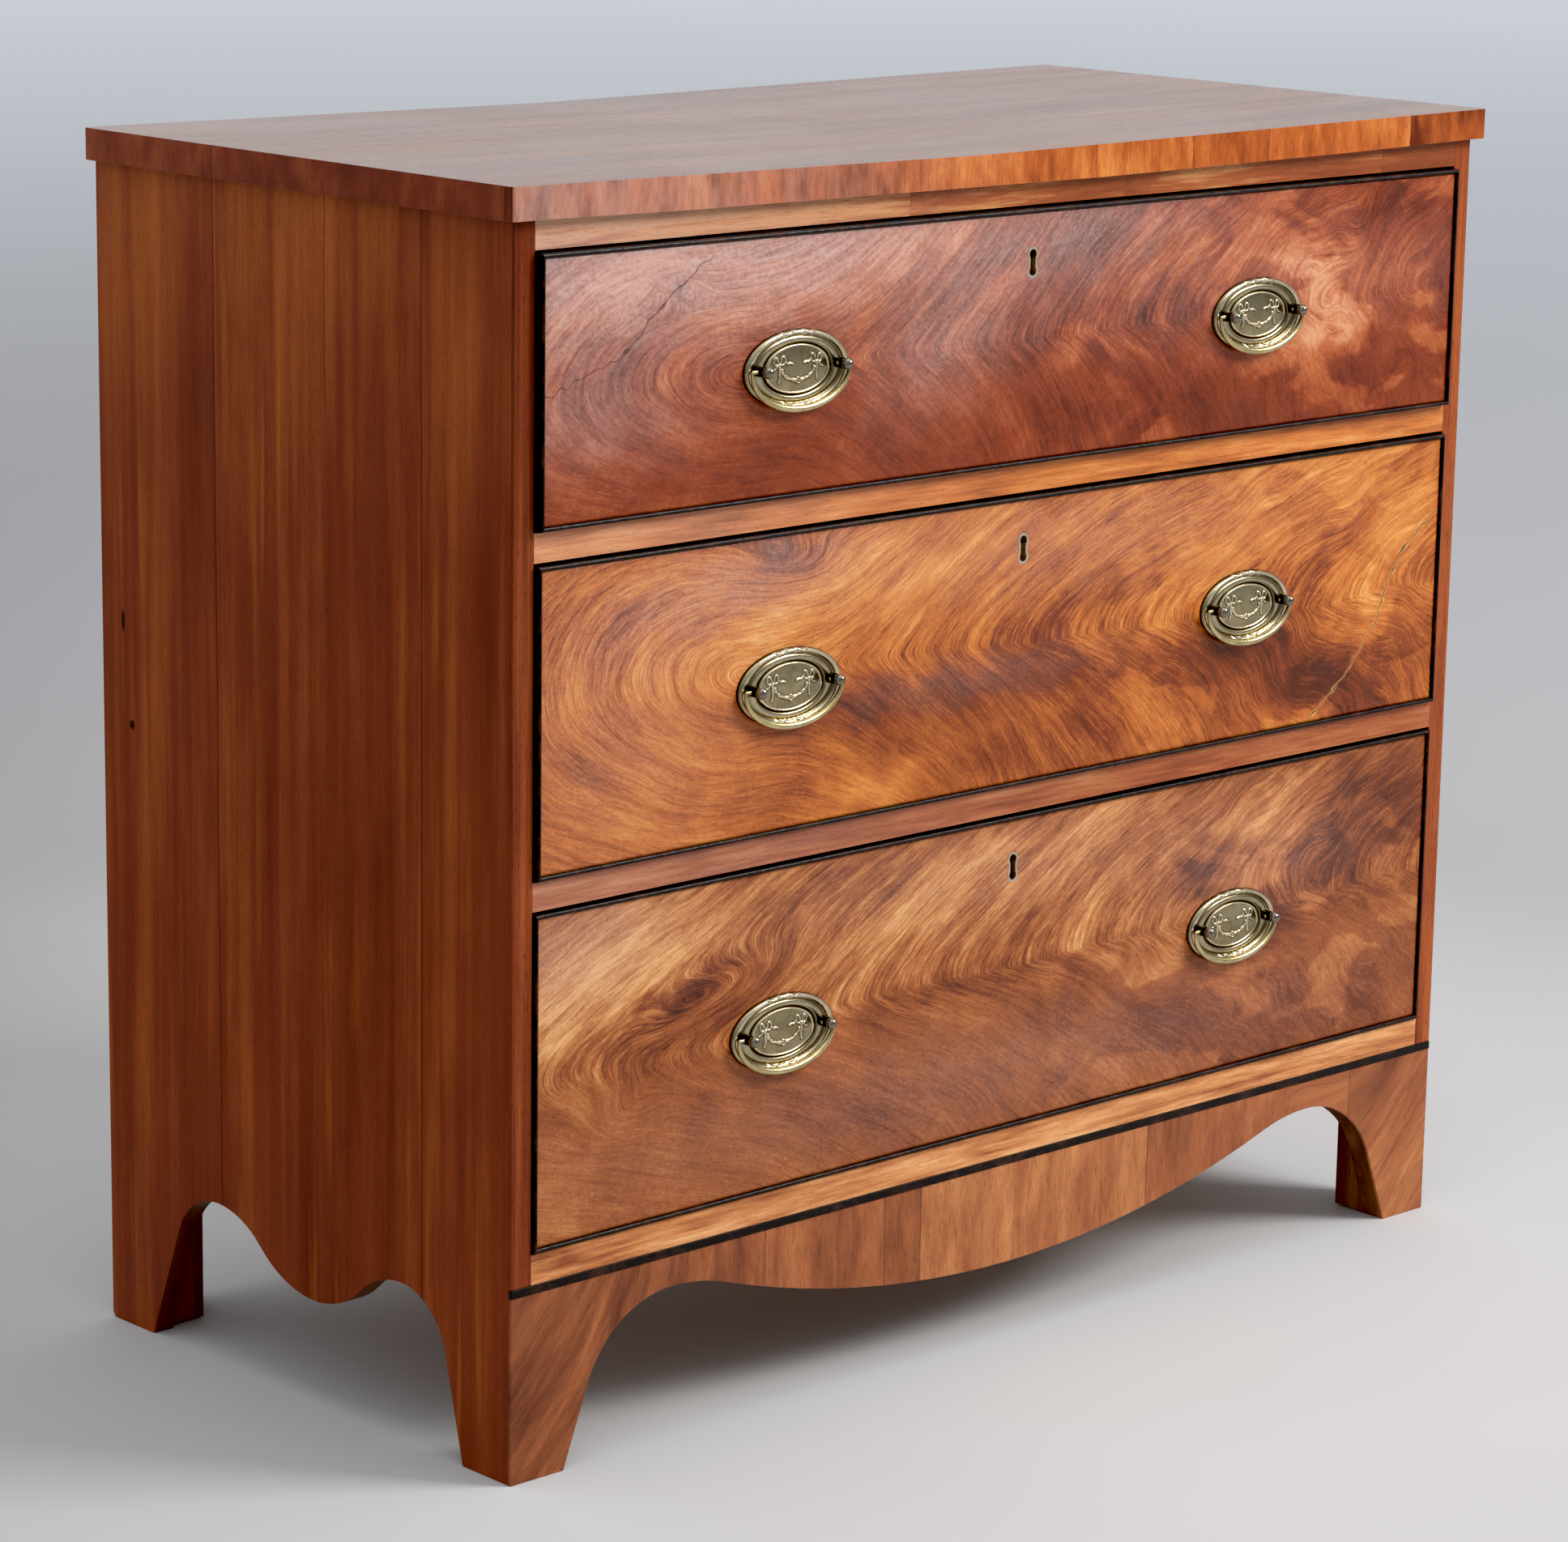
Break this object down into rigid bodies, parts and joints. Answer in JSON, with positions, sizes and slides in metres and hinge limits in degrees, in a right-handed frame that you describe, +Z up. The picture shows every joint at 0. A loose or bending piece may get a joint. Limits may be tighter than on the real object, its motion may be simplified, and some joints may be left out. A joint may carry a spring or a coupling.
{
  "type": "chest of drawers",
  "caption": "Chest of graduated long drawers in figured mahogany, with oval brass bail handles, an ebonised strip, a shaped apron and bracket feet.",
  "frame": {"origin": "on the floor, under the middle of the object's box", "axes": "+X along the front to the right as seen from the front, +Y from the front to the back, +Z up"},
  "size_m": [0.946, 0.4726, 0.86],
  "materials": {
    "mahogany_top": "old polished mahogany, dulled on top, with cross-grained edges",
    "mahogany_side": "polished straight-grained mahogany",
    "mahogany_front": "polished flame-figured mahogany veneer",
    "mahogany_facing": "polished plain mahogany facing",
    "mahogany_apron": "polished cross-grained mahogany veneer",
    "ebonised": "black stained and polished",
    "oak": "bare oak, darkened with age",
    "pine": "bare pine, darkened with age",
    "brass": "antique brass with dark patina in the hollows",
    "iron": "dark wrought iron"
  },
  "bodies": {
    "carcass": {"top_board": "mahogany_top", "side_left": "mahogany_side", "side_right": "mahogany_side", "stile_facings": "mahogany_facing", "top_rail": "mahogany_facing", "top_back_rail": "pine", "upper_rail": "mahogany_facing", "lower_rail": "mahogany_facing", "bottom_rail": "mahogany_facing", "bottom_board": "pine", "ebonised_strip": "ebonised", "apron": "pine", "apron_facing": "mahogany_apron", "back_boards": "pine", "dust_boards": "pine", "drawer_runners": "oak", "drawer_stops": "oak", "corner_blocks": "pine", "rear_brackets": "pine", "top_screws": "iron"},
    "drawer_1": {"drawer_1_front": "mahogany_front", "drawer_1_side_left": "oak", "drawer_1_side_right": "oak", "drawer_1_back": "oak", "drawer_1_bottom": "oak", "drawer_1_cock_bead": "ebonised", "drawer_1_escutcheon": "brass", "drawer_1_lock": "brass", "drawer_1_plates": "brass", "drawer_1_posts": "brass"},
    "drawer_1_lock_bolt": {"drawer_1_lock_bolt": "brass"},
    "drawer_1_bail_left": {"drawer_1_bail_left": "brass"},
    "drawer_1_bail_right": {"drawer_1_bail_right": "brass"},
    "drawer_2": {"drawer_2_front": "mahogany_front", "drawer_2_side_left": "oak", "drawer_2_side_right": "oak", "drawer_2_back": "oak", "drawer_2_bottom": "oak", "drawer_2_cock_bead": "ebonised", "drawer_2_escutcheon": "brass", "drawer_2_lock": "brass", "drawer_2_plates": "brass", "drawer_2_posts": "brass"},
    "drawer_2_lock_bolt": {"drawer_2_lock_bolt": "brass"},
    "drawer_2_bail_left": {"drawer_2_bail_left": "brass"},
    "drawer_2_bail_right": {"drawer_2_bail_right": "brass"},
    "drawer_3": {"drawer_3_front": "mahogany_front", "drawer_3_side_left": "oak", "drawer_3_side_right": "oak", "drawer_3_back": "oak", "drawer_3_bottom": "oak", "drawer_3_cock_bead": "ebonised", "drawer_3_escutcheon": "brass", "drawer_3_lock": "brass", "drawer_3_plates": "brass", "drawer_3_posts": "brass"},
    "drawer_3_lock_bolt": {"drawer_3_lock_bolt": "brass"},
    "drawer_3_bail_left": {"drawer_3_bail_left": "brass"},
    "drawer_3_bail_right": {"drawer_3_bail_right": "brass"}
  },
  "joints": [
    {"name": "drawer_1_slide", "type": "slide", "parent": "carcass", "child": "drawer_1", "axis": [0, -1, 0], "range_m": [0, 0.36]},
    {"name": "drawer_1_lock_throw", "type": "slide", "parent": "drawer_1", "child": "drawer_1_lock_bolt", "axis": [0, 0, 1], "range_m": [0, 0.007]},
    {"name": "drawer_1_bail_left_swing", "type": "hinge", "parent": "drawer_1", "child": "drawer_1_bail_left", "pos_m": [-0.227, -0.22605, 0.7265], "axis": [-1, 0, 0], "range_deg": [0, 160]},
    {"name": "drawer_1_bail_right_swing", "type": "hinge", "parent": "drawer_1", "child": "drawer_1_bail_right", "pos_m": [0.227, -0.22605, 0.7265], "axis": [-1, 0, 0], "range_deg": [0, 160]},
    {"name": "drawer_2_slide", "type": "slide", "parent": "carcass", "child": "drawer_2", "axis": [0, -1, 0], "range_m": [0, 0.36]},
    {"name": "drawer_2_lock_throw", "type": "slide", "parent": "drawer_2", "child": "drawer_2_lock_bolt", "axis": [0, 0, 1], "range_m": [0, 0.007]},
    {"name": "drawer_2_bail_left_swing", "type": "hinge", "parent": "drawer_2", "child": "drawer_2_bail_left", "pos_m": [-0.227, -0.22405, 0.512], "axis": [-1, 0, 0], "range_deg": [0, 160]},
    {"name": "drawer_2_bail_right_swing", "type": "hinge", "parent": "drawer_2", "child": "drawer_2_bail_right", "pos_m": [0.227, -0.22405, 0.512], "axis": [-1, 0, 0], "range_deg": [0, 160]},
    {"name": "drawer_3_slide", "type": "slide", "parent": "carcass", "child": "drawer_3", "axis": [0, -1, 0], "range_m": [0, 0.36]},
    {"name": "drawer_3_lock_throw", "type": "slide", "parent": "drawer_3", "child": "drawer_3_lock_bolt", "axis": [0, 0, 1], "range_m": [0, 0.007]},
    {"name": "drawer_3_bail_left_swing", "type": "hinge", "parent": "drawer_3", "child": "drawer_3_bail_left", "pos_m": [-0.227, -0.22205, 0.2715], "axis": [-1, 0, 0], "range_deg": [0, 160]},
    {"name": "drawer_3_bail_right_swing", "type": "hinge", "parent": "drawer_3", "child": "drawer_3_bail_right", "pos_m": [0.227, -0.22205, 0.2715], "axis": [-1, 0, 0], "range_deg": [0, 160]}
  ]
}
